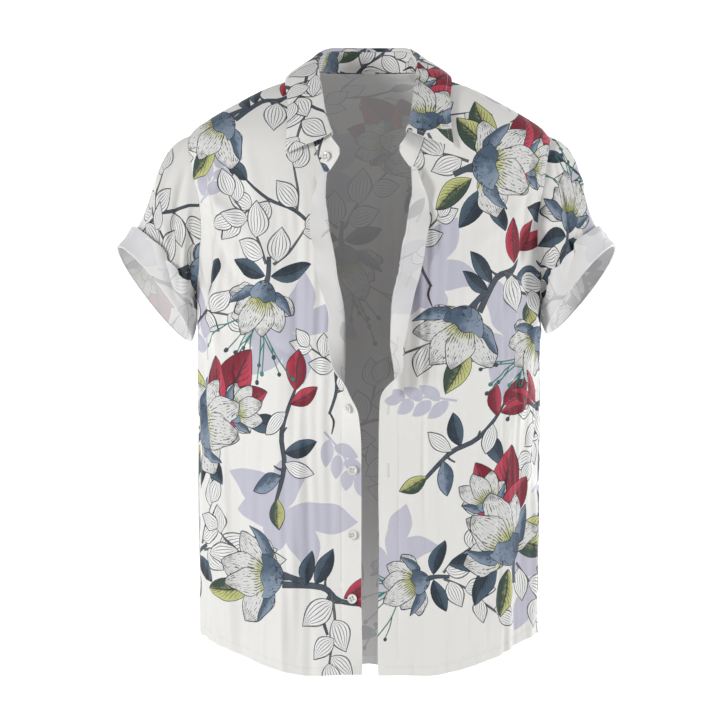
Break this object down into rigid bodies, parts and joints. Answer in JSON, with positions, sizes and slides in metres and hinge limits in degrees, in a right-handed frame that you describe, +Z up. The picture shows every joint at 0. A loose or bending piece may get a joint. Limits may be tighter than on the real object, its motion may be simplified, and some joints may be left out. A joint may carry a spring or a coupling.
{
  "type": "hawaiian shirt",
  "caption": "Short-sleeved floral print shirt hanging open, with a turned-down collar, turned-up sleeve ends and a curved shirttail hem.",
  "frame": {"origin": "base of the neck, midway between the two side-neck points, where the wearer's shoulders carry the shirt", "axes": "+Z up along the body, -Y out of the open front, +X towards the wearer's left sleeve"},
  "size_m": [0.6029, 0.2708, 0.7557],
  "materials": {
    "printed_cloth": "printed with large flowers and leaves on ivory",
    "printed_cloth_collar": "the same printed cloth, on the stand and the turned-up sleeve ends",
    "pearl_button": "pearly",
    "tape": "plain woven, blank"
  },
  "bodies": {
    "root": {"back": "printed_cloth", "front_right": "printed_cloth", "front_left": "printed_cloth", "sleeve_right": "printed_cloth", "sleeve_left": "printed_cloth", "collar_leaf": "printed_cloth", "cuff_right": "printed_cloth_collar", "cuff_left": "printed_cloth_collar", "collar_stand": "printed_cloth_collar", "button_1": "pearl_button", "button_2": "pearl_button", "button_3": "pearl_button", "button_4": "pearl_button", "button_5": "pearl_button", "button_6": "pearl_button", "button_7": "pearl_button", "button_neck": "pearl_button", "neck_label": "tape"}
  },
  "joints": []
}
